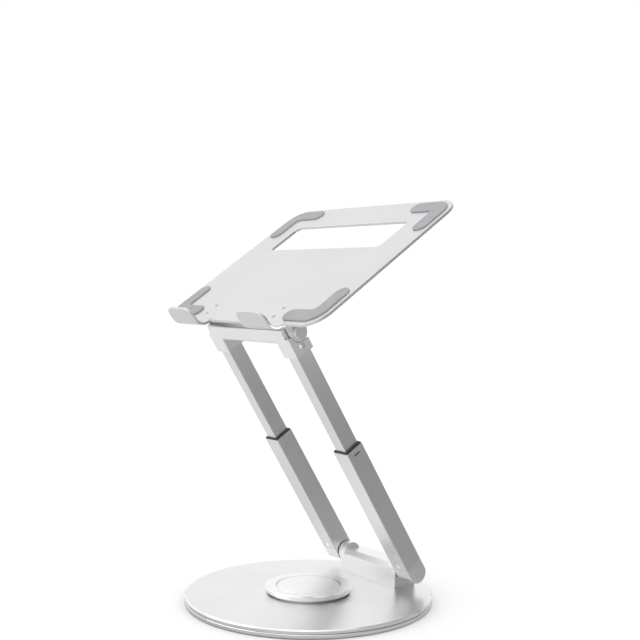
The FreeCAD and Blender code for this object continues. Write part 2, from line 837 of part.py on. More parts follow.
# ---- every node, in the frame of the whole stand ----
nodes = {
    "foot_ring": foot_ring(),
    "lower_plate": lower_plate(),
    "spindle": spindle(),
    "spindle_washer": spindle_washer(),
    "spindle_nut": spindle_nut(),
    "bearing_lower_race": bearing_lower_race(),
    "bearing_cage": bearing_cage(),
    "bearing_balls": bearing_balls(),
    "bearing_upper_race": bearing_upper_race(),
    "upper_plate": upper_plate(),
    "spindle_bush": spindle_bush(),
    "hub_cap": hub_cap(),
    "hub_disc": hub_disc(),
    "hub_screws": hub_screws(),
    "hinge_block": hinge_block(),
    "block_screws": block_screws(),
    "lower_hinge_shaft": lower_hinge_shaft(),
    "shaft_grub_screws": shaft_grub_screws(),
    "friction_washers": friction_washers(),
    "knuckle_screws": on_arm(both_sides(knuckle_screw())),
    "yoke": on_arm(yoke()),
    "tube_screws": on_arm(both_sides(tube_screw())),
    "upper_hinge_pins": on_arm(both_sides(upper_hinge_pin())),
    "pin_washers": on_arm(both_sides(pin_washer())),
    "pin_nuts": on_arm(both_sides(pin_nut())),
    "tray_plate": on_tray(tray_plate()),
    "tray_screws": on_tray(tray_screws()),
}

handed = {
    "lower_knuckle": on_arm(lower_knuckle()),
    "lower_tube": on_arm(lower_tube()),
    "collar": on_arm(collar()),
    "glide_shoe": on_arm(glide_shoe()),
    "upper_tube": on_arm(upper_tube()),
    "tray_bracket": on_tray(tray_bracket()),
    "front_pad": on_tray(corner_pad()),
    "rear_pad": on_tray(rear_pad()),
}
for name, shape in handed.items():
    nodes[name + "_right"] = shape
    nodes[name + "_left"] = mirrored(shape)

os.makedirs("parts", exist_ok=True)
for name, shape in nodes.items():
    shape.exportStep("parts/" + name + ".step")
    print(name, len(shape.Solids), "solid(s)", round(shape.Volume, 1), "mm3", "valid", shape.isValid())
pivot_y, pivot_z = arm_point(upper_pivot_back, upper_pivot_along)
print("upper pivot", round(pivot_y, 3), round(pivot_z, 3), "travel", round(tube_travel, 3))
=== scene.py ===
import math

import bmesh
import bpy
from mathutils import Matrix, Vector


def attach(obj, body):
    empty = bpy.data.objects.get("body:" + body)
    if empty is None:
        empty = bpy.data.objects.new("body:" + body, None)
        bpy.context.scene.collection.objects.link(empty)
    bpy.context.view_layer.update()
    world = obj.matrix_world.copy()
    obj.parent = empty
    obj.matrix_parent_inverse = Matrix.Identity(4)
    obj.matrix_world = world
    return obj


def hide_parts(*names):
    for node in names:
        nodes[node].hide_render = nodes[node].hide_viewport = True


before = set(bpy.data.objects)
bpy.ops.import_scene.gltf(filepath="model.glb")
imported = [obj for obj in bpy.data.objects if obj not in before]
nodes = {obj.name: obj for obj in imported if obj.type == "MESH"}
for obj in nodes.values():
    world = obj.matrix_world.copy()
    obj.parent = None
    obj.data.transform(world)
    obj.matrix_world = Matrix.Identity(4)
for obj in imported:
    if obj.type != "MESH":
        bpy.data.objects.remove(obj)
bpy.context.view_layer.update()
mm = 0.001
nodeSpacing = (190, -170)  # how far apart nodes stand in the shader editor
upwards, downwards = (0.0, 1.0), (1.0, 0.0)
print("frame loaded:", len(nodes), "CAD nodes")


def addNode(tree, kind, spot, **settings):
    node = tree.nodes.new(kind)
    node.location = (spot[0] * nodeSpacing[0], spot[1] * nodeSpacing[1])
    for name, value in settings.items():
        setattr(node, name, value)
    return node


def feed(tree, target, value):
    # a socket takes a link from another socket, or a plain number, colour or vector
    if isinstance(value, bpy.types.NodeSocket):
        tree.links.new(value, target)
    else:
        target.default_value = value


def mathNode(tree, operation, spot, a, b=None, clamp=False):
    node = addNode(tree, "ShaderNodeMath", spot, operation=operation, use_clamp=clamp)
    feed(tree, node.inputs[0], a)
    if b is not None:
        feed(tree, node.inputs[1], b)
    return node.outputs[0]


def noiseNode(tree, vector, scale, spot, detail=2.0, roughness=0.5):
    node = addNode(tree, "ShaderNodeTexNoise", spot)
    feed(tree, node.inputs["Vector"], vector)
    feed(tree, node.inputs["Scale"], scale)
    feed(tree, node.inputs["Detail"], detail)
    feed(tree, node.inputs["Roughness"], roughness)
    return node.outputs["Fac"]


def rangeNode(tree, value, spot, fromRange, toRange, smooth=False):
    node = addNode(tree, "ShaderNodeMapRange", spot)
    node.interpolation_type = "SMOOTHSTEP" if smooth else "LINEAR"
    feed(tree, node.inputs["Value"], value)
    for name, number in zip(("From Min", "From Max", "To Min", "To Max"), (*fromRange, *toRange)):
        feed(tree, node.inputs[name], number)
    return node.outputs["Result"]


def mixColour(tree, factor, first, second, spot):
    node = addNode(tree, "ShaderNodeMix", spot, data_type="RGBA")
    feed(tree, node.inputs["Factor"], factor)
    feed(tree, node.inputs["A"], first)
    feed(tree, node.inputs["B"], second)
    return node.outputs["Result"]


def startGroup(name, inputs, outputs):
    group = bpy.data.node_groups.new(name, "ShaderNodeTree")
    for label, value in inputs.items():
        socket = group.interface.new_socket(label, in_out="INPUT", socket_type="NodeSocketFloat")
        socket.default_value = value
    for label in outputs:
        group.interface.new_socket(label, in_out="OUTPUT", socket_type="NodeSocketFloat")
    given = addNode(group, "NodeGroupInput", (-6, 0))
    result = addNode(group, "NodeGroupOutput", (6, 0))
    return group, given, result


def placeGroup(tree, group, spot, values):
    node = addNode(tree, "ShaderNodeGroup", spot, node_tree=group)
    for label, value in values.items():
        feed(tree, node.inputs[label], value)
    return node.outputs


def objectCoords(tree, spot):
    return addNode(tree, "ShaderNodeTexCoord", spot).outputs["Object"]


blastEffect = {
    "grain": 0.35 * mm, "cloud": 30 * mm, "detail": 3.0, "speckRoughness": 0.65,
    "cellScale": 0.7, "cellShare": 0.5, "spread": (0.3, 0.7),
}


def makeBlastGroup(effect):
    # fine pits left by glass beads, with a broad faint cloudiness under them
    inputs = {"Grain": effect["grain"], "Cloud": effect["cloud"]}
    group, given, result = startGroup("beadBlast", inputs, ("Height", "Pit", "Cloud"))
    coords = objectCoords(group, (-5, 1))
    fine = mathNode(group, "DIVIDE", (-5, 0), 1.0, given.outputs["Grain"])
    broad = mathNode(group, "DIVIDE", (-5, 2), 1.0, given.outputs["Cloud"])
    specks = noiseNode(group, coords, fine, (-3, 0), effect["detail"], effect["speckRoughness"])
    cells = addNode(group, "ShaderNodeTexVoronoi", (-3, 1), feature="SMOOTH_F1")
    feed(group, cells.inputs["Vector"], coords)
    cellScale = mathNode(group, "MULTIPLY", (-4, 1), fine, effect["cellScale"])
    feed(group, cells.inputs["Scale"], cellScale)
    clouds = noiseNode(group, coords, broad, (-3, 2), effect["detail"])
    pits = mathNode(group, "MULTIPLY", (-1, 1), cells.outputs["Distance"], effect["cellShare"])
    height = mathNode(group, "ADD", (0, 0), specks, pits)
    pitMask = rangeNode(group, specks, (1, 1), effect["spread"], upwards)
    cloudMask = rangeNode(group, clouds, (1, 2), effect["spread"], upwards, smooth=True)
    feed(group, result.inputs["Height"], height)
    feed(group, result.inputs["Pit"], pitMask)
    feed(group, result.inputs["Cloud"], cloudMask)
    return group


edgeEffect = {
    "width": 0.6 * mm, "breakup": 0.3, "samples": 6, "bend": (1.0, 0.93),
    "patchScale": 420.0, "patchDetail": 4.0, "spread": (0.35, 0.65),
}


def makeEdgeGroup(effect):
    # how near the surface is to a corner, broken up a little
    inputs = {"Width": effect["width"], "Breakup": effect["breakup"]}
    group, given, result = startGroup("edgeLine", inputs, ("Edge",))
    bevel = addNode(group, "ShaderNodeBevel", (-4, 0), samples=effect["samples"])
    feed(group, bevel.inputs["Radius"], given.outputs["Width"])
    geometry = addNode(group, "ShaderNodeNewGeometry", (-4, 1))
    dot = addNode(group, "ShaderNodeVectorMath", (-3, 0), operation="DOT_PRODUCT")
    feed(group, dot.inputs[0], bevel.outputs["Normal"])
    feed(group, dot.inputs[1], geometry.outputs["Normal"])
    bend = rangeNode(group, dot.outputs["Value"], (-2, 0), effect["bend"], upwards, smooth=True)
    coords = objectCoords(group, (-4, 2))
    patches = noiseNode(group, coords, effect["patchScale"], (-3, 2), effect["patchDetail"])
    ragged = rangeNode(group, patches, (-2, 2), effect["spread"], upwards)
    loss = mathNode(group, "MULTIPLY", (-1, 2), ragged, given.outputs["Breakup"])
    keep = mathNode(group, "SUBTRACT", (0, 2), 1.0, loss)
    feed(group, result.inputs["Edge"], mathNode(group, "MULTIPLY", (1, 0), bend, keep, clamp=True))
    return group


handlingEffect = {
    "patch": 45 * mm, "patchDetail": 5.0, "patchRoughness": 0.6, "patchSpread": (0.4, 0.68),
    "hairline": 4 * mm, "lineDetail": 2.0, "lineSpread": (0.66, 0.72),
    "lineTurn": (0.5, 0.2, 0.9), "lineStretch": (0.06, 1.0, 1.0),
}


def makeHandlingGroup(effect):
    # soft patches where hands have polished or greased the surface, and thin hairline marks
    inputs = {"Patch": effect["patch"], "Hairline": effect["hairline"]}
    group, given, result = startGroup("handling", inputs, ("Patch", "Hairline"))
    coords = objectCoords(group, (-5, 0))
    broad = mathNode(group, "DIVIDE", (-5, 1), 1.0, given.outputs["Patch"])
    patchNoise = (effect["patchDetail"], effect["patchRoughness"])
    patch = noiseNode(group, coords, broad, (-3, 0), *patchNoise)
    stretch = addNode(group, "ShaderNodeMapping", (-4, 2))
    feed(group, stretch.inputs["Vector"], coords)
    feed(group, stretch.inputs["Rotation"], effect["lineTurn"])
    feed(group, stretch.inputs["Scale"], effect["lineStretch"])
    fine = mathNode(group, "DIVIDE", (-5, 3), 1.0, given.outputs["Hairline"])
    lines = noiseNode(group, stretch.outputs["Vector"], fine, (-3, 2), effect["lineDetail"])
    patchMask = rangeNode(group, patch, (-1, 0), effect["patchSpread"], upwards, smooth=True)
    lineMask = rangeNode(group, lines, (-1, 2), effect["lineSpread"], upwards, smooth=True)
    feed(group, result.inputs["Patch"], patchMask)
    feed(group, result.inputs["Hairline"], lineMask)
    return group


turnedEffect = {
    "pitch": 0.5 * mm, "unevenScale": 1.3, "unevenDetail": 2.0,
    # how far a face points up or down, from 0 for a wall to 1 for a flat top
    "bevelStart": (0.25, 0.45), "bevelEnd": (0.8, 0.95), "wallShadeEnd": (0.1, 0.3),
}


def makeTurnedGroup(effect):
    # lathe lines round the Z axis, the band where a rim is cut at an angle, and the walls' painted
    # shade
    inputs = {"Pitch": effect["pitch"]}
    group, given, result = startGroup("turned", inputs, ("Height", "Bevel", "WallShade"))
    split = addNode(group, "ShaderNodeSeparateXYZ", (-4, 0))
    feed(group, split.inputs["Vector"], objectCoords(group, (-5, 0)))
    flat = addNode(group, "ShaderNodeCombineXYZ", (-3, 0))
    feed(group, flat.inputs["X"], split.outputs["X"])
    feed(group, flat.inputs["Y"], split.outputs["Y"])
    reach = addNode(group, "ShaderNodeVectorMath", (-2, 0), operation="LENGTH")
    feed(group, reach.inputs[0], flat.outputs["Vector"])
    turns = mathNode(group, "DIVIDE", (-1, 0), reach.outputs["Value"], given.outputs["Pitch"])
    angle = mathNode(group, "MULTIPLY", (0, -1), turns, 2 * math.pi)
    wave = mathNode(group, "SINE", (0, 0), angle)
    uneven = noiseNode(group, turns, effect["unevenScale"], (0, 1), effect["unevenDetail"])
    coords = addNode(group, "ShaderNodeTexCoord", (-5, 3))
    facing = addNode(group, "ShaderNodeSeparateXYZ", (-4, 3))
    feed(group, facing.inputs["Vector"], coords.outputs["Normal"])
    upward = mathNode(group, "ABSOLUTE", (-3, 3), facing.outputs["Z"])
    rising = rangeNode(group, upward, (-2, 3), effect["bevelStart"], upwards, smooth=True)
    falling = rangeNode(group, upward, (-2, 4), effect["bevelEnd"], downwards, smooth=True)
    # vertical faces are masked here so they can take a painted shade
    wallShadeMask = rangeNode(group, upward, (0, 4), effect["wallShadeEnd"], downwards, smooth=True)
    feed(group, result.inputs["Height"], mathNode(group, "MULTIPLY", (1, 0), wave, uneven))
    feed(group, result.inputs["Bevel"], mathNode(group, "MULTIPLY", (0, 3), rising, falling))
    feed(group, result.inputs["WallShade"], wallShadeMask)
    return group


cutEffect = {"facing": 0.85, "reach": 100 * mm, "gain": 12.0}


def makeCutGroup(effect):
    # the trimmed end faces of the hooks, which face left and right, but not the tray's own sides
    inputs = {"From": effect["facing"], "Reach": effect["reach"]}
    group, given, result = startGroup("cutFace", inputs, ("Cut",))
    coords = addNode(group, "ShaderNodeTexCoord", (-5, 0))
    facing = addNode(group, "ShaderNodeSeparateXYZ", (-4, 0))
    feed(group, facing.inputs["Vector"], coords.outputs["Normal"])
    place = addNode(group, "ShaderNodeSeparateXYZ", (-4, 2))
    feed(group, place.inputs["Vector"], coords.outputs["Object"])
    aside = mathNode(group, "ABSOLUTE", (-3, 2), place.outputs["X"])
    near = mathNode(group, "LESS_THAN", (-2, 2), aside, given.outputs["Reach"])
    sideways = mathNode(group, "ABSOLUTE", (-3, 0), facing.outputs["X"])
    span = mathNode(group, "SUBTRACT", (-3, 1), sideways, given.outputs["From"])
    facingSide = mathNode(group, "MULTIPLY", (-1, 0), span, effect["gain"], clamp=True)
    feed(group, result.inputs["Cut"], mathNode(group, "MULTIPLY", (0, 0), facingSide, near))
    return group


mouldedEffect = {
    "grain": 0.4 * mm, "grainDetail": 2.0, "grainRoughness": 0.7,
    "mottle": 12 * mm, "mottleDetail": 4.0, "mottleSpread": (0.3, 0.7),
    "dustScale": 18.0, "dustDetail": 1.0, "dustSpread": (0.68, 0.74),
}


def makeMouldedGroup(effect):
    # the dull skin of moulded rubber or plastic: fine grain, soft mottling and settled dust
    inputs = {"Grain": effect["grain"], "Mottle": effect["mottle"]}
    group, given, result = startGroup("mouldedSkin", inputs, ("Height", "Mottle", "Dust"))
    coords = objectCoords(group, (-5, 0))
    fine = mathNode(group, "DIVIDE", (-5, 1), 1.0, given.outputs["Grain"])
    broad = mathNode(group, "DIVIDE", (-5, 2), 1.0, given.outputs["Mottle"])
    grain = noiseNode(group, coords, fine, (-3, 0), effect["grainDetail"], effect["grainRoughness"])
    mottle = noiseNode(group, coords, broad, (-3, 1), effect["mottleDetail"])
    dotScale = mathNode(group, "MULTIPLY", (-4, 3), broad, effect["dustScale"])
    dots = noiseNode(group, coords, dotScale, (-3, 3), effect["dustDetail"])
    mottleMask = rangeNode(group, mottle, (-1, 1), effect["mottleSpread"], upwards, smooth=True)
    dustMask = rangeNode(group, dots, (-1, 3), effect["dustSpread"], upwards, smooth=True)
    feed(group, result.inputs["Height"], grain)
    feed(group, result.inputs["Mottle"], mottleMask)
    feed(group, result.inputs["Dust"], dustMask)
    return group


blastGroup = makeBlastGroup(blastEffect)
edgeGroup = makeEdgeGroup(edgeEffect)
handlingGroup = makeHandlingGroup(handlingEffect)
turnedGroup = makeTurnedGroup(turnedEffect)
mouldedGroup = makeMouldedGroup(mouldedEffect)
cutGroup = makeCutGroup(cutEffect)
print("shared effects built:", len(bpy.data.node_groups))


def startMaterial(name):
    material = bpy.data.materials.new(name)
    material.use_nodes = True
    tree = material.node_tree
    tree.nodes.clear()
    shader = addNode(tree, "ShaderNodeBsdfPrincipled", (6, 0))
    output = addNode(tree, "ShaderNodeOutputMaterial", (8, 0))
    tree.links.new(shader.outputs[0], output.inputs["Surface"])
    return material, tree, shader


def bumpNode(tree, height, distance, strength, spot):
    node = addNode(tree, "ShaderNodeBump", spot)
    feed(tree, node.inputs["Height"], height)
    feed(tree, node.inputs["Distance"], distance)
    feed(tree, node.inputs["Strength"], strength)
    return node.outputs["Normal"]


def makeBlastedMetal(name, look):
    # bead-blasted, anodised aluminium whose corners are a little brighter and smoother
    material, tree, shader = startMaterial(name)
    blast = placeGroup(tree, blastGroup, (-3, 0), {"Grain": look["grain"], "Cloud": look["cloud"]})
    edgeSizes = {"Width": look["edgeWidth"], "Breakup": look["edgeBreakup"]}
    edge = placeGroup(tree, edgeGroup, (-3, 1), edgeSizes)
    touch = placeGroup(tree, handlingGroup, (-3, 2), {"Patch": look["patch"]})
    pitTone = mixColour(tree, blast["Pit"], look["pitColour"], look["colour"], (-1, 0))
    cloudTone = mixColour(tree, blast["Cloud"], pitTone, look["cloudColour"], (0, 0))
    edgeTone = mixColour(tree, edge["Edge"], cloudTone, look["edgeColour"], (1, 0))
    pitRough = mathNode(tree, "MULTIPLY", (-1, 2), blast["Pit"], look["pitRough"])
    handRough = mathNode(tree, "MULTIPLY", (-1, 3), touch["Patch"], look["handRough"])
    rough = mathNode(tree, "ADD", (0, 2), pitRough, look["roughness"])
    rough = mathNode(tree, "SUBTRACT", (1, 2), rough, handRough)
    smooth = mathNode(tree, "MULTIPLY", (1, 3), edge["Edge"], look["edgeSmooth"])
    rough = mathNode(tree, "SUBTRACT", (2, 2), rough, smooth, clamp=True)
    if look.get("turned"):
        turned = placeGroup(tree, turnedGroup, (-3, 4), {"Pitch": look["pitch"]})
        # side walls get a darker colour than the top: painted shade
        edgeTone = mixColour(tree, turned["WallShade"], edgeTone, look["paintedWallShade"], (2, 1))
        edgeTone = mixColour(tree, turned["Bevel"], edgeTone, look["edgeColour"], (2, 0))
        cut = mathNode(tree, "MULTIPLY", (2, 4), turned["Bevel"], look["bevelSmooth"])
        rough = mathNode(tree, "SUBTRACT", (3, 2), rough, cut, clamp=True)
        rough = mathNode(tree, "MAXIMUM", (4, 2), rough, look["leastRough"])
        lines = mathNode(tree, "MULTIPLY", (0, 5), turned["Height"], look["turnedHeight"])
        height = mathNode(tree, "ADD", (1, 5), blast["Height"], lines)
    else:
        height = blast["Height"]
    if look.get("cutFaces"):
        cut = placeGroup(tree, cutGroup, (-3, 6), {"Reach": look["cutReach"]})["Cut"]
        edgeTone = mixColour(tree, cut, edgeTone, look["edgeColour"], (4, 0))
        cutRough = mathNode(tree, "MULTIPLY", (4, 3), cut, look["cutSmooth"])
        rough = mathNode(tree, "SUBTRACT", (5, 2), rough, cutRough)
    feed(tree, shader.inputs["Base Color"], edgeTone)
    feed(tree, shader.inputs["Roughness"], rough)
    normal = bumpNode(tree, height, look["bumpDepth"], look["bump"], (3, 5))
    feed(tree, shader.inputs["Normal"], normal)
    shader.inputs["Metallic"].default_value = 1.0
    return material


satinLook = {
    "colour": (0.86, 0.862, 0.865, 1), "pitColour": (0.76, 0.763, 0.768, 1),
    "cloudColour": (0.83, 0.832, 0.836, 1), "edgeColour": (0.97, 0.97, 0.97, 1),
    "grain": 0.28 * mm, "cloud": 40 * mm, "patch": 55 * mm,
    "edgeWidth": 0.45 * mm, "edgeBreakup": 0.25, "edgeSmooth": 0.14,
    "roughness": 0.40, "pitRough": 0.06, "handRough": 0.02,
    "bumpDepth": 0.02 * mm, "bump": 0.35,
}
# the base's and hub's side walls take a darker painted shade colour
baseLook = dict(
    satinLook, cloudColour=(0.85, 0.852, 0.855, 1), paintedWallShade=(0.66, 0.662, 0.67, 1),
    grain=0.7 * mm, cloud=90 * mm, edgeWidth=0.35 * mm, roughness=0.27, handRough=0.0, bump=0.9,
    turned=True, pitch=0.42 * mm, turnedHeight=0.03, bevelSmooth=0.22, leastRough=0.08,
)
hubLook = dict(
    baseLook, colour=(0.95, 0.95, 0.95, 1), pitColour=(0.91, 0.91, 0.915, 1),
    cloudColour=(0.95, 0.95, 0.95, 1), grain=0.3 * mm, edgeWidth=0.3 * mm,
    roughness=0.30, bump=0.3, bevelSmooth=0.12,
)
castLook = dict(
    satinLook, colour=(0.94, 0.941, 0.943, 1), pitColour=(0.87, 0.872, 0.876, 1),
    cloudColour=(0.92, 0.922, 0.925, 1), roughness=0.34,
)
trayLook = dict(
    satinLook, colour=(0.78, 0.782, 0.785, 1), pitColour=(0.69, 0.692, 0.698, 1),
    cloudColour=(0.76, 0.762, 0.766, 1), grain=0.36 * mm, cloud=70 * mm,
    roughness=0.44, bump=0.4, cutFaces=True, cutSmooth=0.3, cutReach=100 * mm,
)
armLook = dict(satinLook, grain=0.22 * mm, bump=0.22, roughness=0.30)


def makeMachinedSteel(name, look):
    # bright turned steel with faint hairlines
    material, tree, shader = startMaterial(name)
    blast = placeGroup(tree, blastGroup, (-3, 0), {"Grain": look["grain"], "Cloud": look["cloud"]})
    edgeSizes = {"Width": look["edgeWidth"], "Breakup": look["edgeBreakup"]}
    edge = placeGroup(tree, edgeGroup, (-3, 1), edgeSizes)
    touchSizes = {"Patch": look["cloud"], "Hairline": look["hairline"]}
    touch = placeGroup(tree, handlingGroup, (-3, 2), touchSizes)
    tone = mixColour(tree, blast["Cloud"], look["colour"], look["cloudColour"], (-1, 0))
    tone = mixColour(tree, edge["Edge"], tone, look["edgeColour"], (0, 0))
    rough = mathNode(tree, "MULTIPLY", (-1, 2), blast["Cloud"], look["cloudRough"])
    rough = mathNode(tree, "ADD", (0, 2), rough, look["roughness"])
    marks = mathNode(tree, "MULTIPLY", (0, 3), touch["Hairline"], look["hairRough"])
    rough = mathNode(tree, "ADD", (1, 2), rough, marks)
    feed(tree, shader.inputs["Base Color"], tone)
    feed(tree, shader.inputs["Roughness"], rough)
    height = mathNode(tree, "SUBTRACT", (1, 4), blast["Height"], touch["Hairline"])
    normal = bumpNode(tree, height, look["bumpDepth"], look["bump"], (3, 4))
    feed(tree, shader.inputs["Normal"], normal)
    shader.inputs["Metallic"].default_value = 1.0
    return material


steelLook = {
    "colour": (0.66, 0.665, 0.675, 1), "cloudColour": (0.58, 0.585, 0.60, 1),
    "edgeColour": (0.9, 0.9, 0.9, 1), "grain": 0.15 * mm, "cloud": 6 * mm,
    "hairline": 1.5 * mm, "hairRough": 0.12, "edgeWidth": 0.2 * mm, "edgeBreakup": 0.15,
    "roughness": 0.24, "cloudRough": 0.08, "bumpDepth": 0.01 * mm, "bump": 0.2,
}
pinLook = dict(
    steelLook, colour=(0.93, 0.93, 0.935, 1), cloudColour=(0.89, 0.89, 0.90, 1), roughness=0.5,
)
domeLook = dict(pinLook, roughness=0.14, cloudRough=0.03)


def makeMoulded(name, look):
    # rubber, silicone or plastic straight from the mould
    material, tree, shader = startMaterial(name)
    skinSizes = {"Grain": look["grain"], "Mottle": look["mottle"]}
    skin = placeGroup(tree, mouldedGroup, (-3, 0), skinSizes)
    edgeSizes = {"Width": look["edgeWidth"], "Breakup": look["edgeBreakup"]}
    edge = placeGroup(tree, edgeGroup, (-3, 1), edgeSizes)
    tone = mixColour(tree, skin["Mottle"], look["colour"], look["mottleColour"], (-1, 0))
    tone = mixColour(tree, edge["Edge"], tone, look["edgeColour"], (0, 0))
    dust = mathNode(tree, "MULTIPLY", (0, 1), skin["Dust"], look["dust"])
    tone = mixColour(tree, dust, tone, look["dustColour"], (1, 0))
    rough = mathNode(tree, "MULTIPLY", (0, 2), skin["Mottle"], look["mottleRough"])
    rough = mathNode(tree, "ADD", (1, 2), rough, look["roughness"])
    feed(tree, shader.inputs["Base Color"], tone)
    feed(tree, shader.inputs["Roughness"], rough)
    normal = bumpNode(tree, skin["Height"], look["bumpDepth"], look["bump"], (3, 4))
    feed(tree, shader.inputs["Normal"], normal)
    shader.inputs["Specular IOR Level"].default_value = look["specular"]
    shader.inputs["Sheen Weight"].default_value = look["sheen"]
    shader.inputs["Sheen Roughness"].default_value = look["sheenRough"]
    return material


siliconeLook = {
    "colour": (0.34, 0.348, 0.362, 1), "mottleColour": (0.375, 0.383, 0.395, 1),
    "edgeColour": (0.26, 0.265, 0.275, 1), "dustColour": (0.72, 0.72, 0.72, 1),
    "grain": 0.5 * mm, "mottle": 14 * mm, "edgeWidth": 0.5 * mm, "edgeBreakup": 0.4,
    "dust": 0.15, "roughness": 0.62, "mottleRough": 0.08, "bumpDepth": 0.03 * mm, "bump": 0.35,
    "specular": 0.25, "sheen": 0.03, "sheenRough": 0.5,
}
plasticLook = dict(
    siliconeLook, colour=(0.02, 0.02, 0.021, 1), mottleColour=(0.026, 0.026, 0.027, 1),
    edgeColour=(0.05, 0.05, 0.052, 1), dustColour=(0.12, 0.12, 0.12, 1),
    roughness=0.48, specular=0.5, sheen=0.0,
)
rubberLook = dict(
    siliconeLook, colour=(0.035, 0.035, 0.036, 1), mottleColour=(0.045, 0.045, 0.045, 1),
    edgeColour=(0.07, 0.07, 0.07, 1), dustColour=(0.2, 0.19, 0.18, 1),
    roughness=0.78, dust=0.3, sheen=0.05,
)

finishes = {
    "base": makeBlastedMetal("blastedBase", baseLook),
    "hub": makeBlastedMetal("blastedHub", hubLook),
    "tray": makeBlastedMetal("blastedTray", trayLook),
    "arm": makeBlastedMetal("satinArm", armLook),
    "cast": makeBlastedMetal("blastedCasting", castLook),
    "steel": makeMachinedSteel("machinedSteel", steelLook),
    "pin": makeMachinedSteel("turnedPin", pinLook),
    "dome": makeMachinedSteel("polishedDome", domeLook),
    "silicone": makeMoulded("greySilicone", siliconeLook),
    "plastic": makeMoulded("blackPlastic", plasticLook),
    "rubber": makeMoulded("footRubber", rubberLook),
}
print("materials built:", len(finishes))

pieceFinish = {
    "base": ("lower_plate", "upper_plate"),
    "hub": ("hub_cap", "hub_disc"),
    "tray": ("tray_plate",),
    "arm": ("lower_tube_left", "lower_tube_right", "upper_tube_left", "upper_tube_right"),
    "cast": (
        "hinge_block", "lower_knuckle_left", "lower_knuckle_right", "yoke",
        "tray_bracket_left", "tray_bracket_right",
    ),
    "steel": (
        "spindle", "spindle_washer", "spindle_nut", "bearing_lower_race", "bearing_upper_race",
        "bearing_balls", "hub_screws", "block_screws", "lower_hinge_shaft", "shaft_grub_screws",
        "tray_screws", "pin_washers", "pin_nuts",
    ),
    "pin": ("upper_hinge_pins",),
    "dome": ("knuckle_screws", "tube_screws"),
    "silicone": ("front_pad_left", "front_pad_right", "rear_pad_left", "rear_pad_right"),
    "plastic": (
        "friction_washers", "collar_left", "collar_right", "glide_shoe_left", "glide_shoe_right",
        "spindle_bush", "bearing_cage",
    ),
    "rubber": ("foot_ring",),
}
for finish, names in pieceFinish.items():
    for name in names:
        slots = nodes[name].data.materials
        slots.clear()
        slots.append(finishes[finish])
bare = set(nodes) - {name for names in pieceFinish.values() for name in names}


padShape = {
    "nodes": ("front_pad_left", "front_pad_right", "rear_pad_left", "rear_pad_right"),
    "spacing": 1.3 * mm, "fewestPoints": 12,
    # millimetres each ring stands in from the outline, and its height as a share of the thickness
    "rings": (
        (0.0, 0.0), (0.0, 0.5), (0.06, 0.68), (0.2, 0.83),
        (0.45, 0.92), (0.9, 0.965), (2.2, 0.985), (4.2, 1.0),
    ),
    "flatTurn": 0.99, "flatSlack": 0.02 * mm, "facesUp": 0.5,
    "fill": 1.0, "slot": "grey_silicone",
}


def flatOutline(mesh, normal, height, shape):
    # the border of the faces that lie on one plane, as a closed row of points
    flat = [
        face for face in mesh.polygons
        if abs(face.normal.dot(normal)) > shape["flatTurn"]
        and abs(face.center.dot(normal) - height) < shape["flatSlack"]
    ]
    counts = {}
    for face in flat:
        for a, b in face.edge_keys:
            counts[(a, b)] = counts.get((a, b), 0) + 1
    links = {}
    for (a, b), times in counts.items():
        if times == 1:
            links.setdefault(a, []).append(b)
            links.setdefault(b, []).append(a)
    start = min(links)
    row, before, here = [start], None, start
    while True:
        onward = [v for v in links[here] if v != before and v not in row[1:]]
        if not onward or onward[0] == start and len(row) > 2:
            break
        before, here = here, onward[0]
        row.append(here)
    return [mesh.vertices[i].co.copy() for i in row]


def evenlySpaced(points, spacing, fewest):
    ends = points[1:] + points[:1]
    lengths = [(b - a).length for a, b in zip(points, ends)]
    total = sum(lengths)
    count = max(fewest, round(total / spacing))
    result, side, passed = [], 0, 0.0
    for k in range(count):
        goal = total * k / count
        while passed + lengths[side] < goal:
            passed += lengths[side]
            side += 1
        share = (goal - passed) / lengths[side] if lengths[side] else 0.0
        result.append(points[side].lerp(ends[side], share))
    return result


def insetRow(points, normal, depth):
    inner = []
    count = len(points)
    for k, point in enumerate(points):
        along = (points[(k + 1) % count] - points[k - 1]).normalized()
        inner.append(point + normal.cross(along) * depth)
    return inner


def makePad(nodeName, shape):
    # a moulded pad: the CAD pad's own outline with a soft rolled edge and a slight crown
    source = nodes[nodeName].data
    upFacing = [face for face in source.polygons if face.normal.z > shape["facesUp"]]
    up = max(upFacing, key=lambda face: face.area).normal.copy()
    heights = [v.co.dot(up) for v in source.vertices]
    low, thick = min(heights), max(heights) - min(heights)
    outline = flatOutline(source, up, low, shape)
    row = evenlySpaced(outline, shape["spacing"], shape["fewestPoints"])
    turning = sum((a.cross(b) for a, b in zip(row, row[1:] + row[:1])), Vector()).dot(up)
    if turning < 0:
        row.reverse()
    mesh = bmesh.new()
    rows = []
    for inset, share in shape["rings"]:
        ring = insetRow(row, up, inset * mm) if inset else row
        rows.append([mesh.verts.new(point + up * thick * share) for point in ring])
    count = len(row)
    for below, above in zip(rows, rows[1:]):
        for k in range(count):
            onward = (k + 1) % count
            mesh.faces.new((below[k], below[onward], above[onward], above[k]))
    mesh.faces.new(list(reversed(rows[0])))
    mesh.faces.new(rows[-1])
    bmesh.ops.recalc_face_normals(mesh, faces=mesh.faces)
    data = bpy.data.meshes.new("moulded_" + nodeName)
    mesh.to_mesh(data)
    mesh.free()
    data.shade_smooth()
    pad = bpy.data.objects.new("moulded_" + nodeName, data)
    bpy.context.scene.collection.objects.link(pad)
    data.materials.append(finishes["silicone"])
    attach(pad, "tray")
    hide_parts(nodeName)


for padName in padShape["nodes"]:
    makePad(padName, padShape)
print("finishes assigned, nodes left bare:", sorted(bare), "pads made:", len(padShape["nodes"]))


cameraSetup = {
    "place": (0.8756, -0.6622, 0.3267), "azimuth": 52.385, "elevation": 1.951, "roll": 0.42,
    "lens": 60.27, "sensor": 36.0, "clip": (0.01, 50),
}


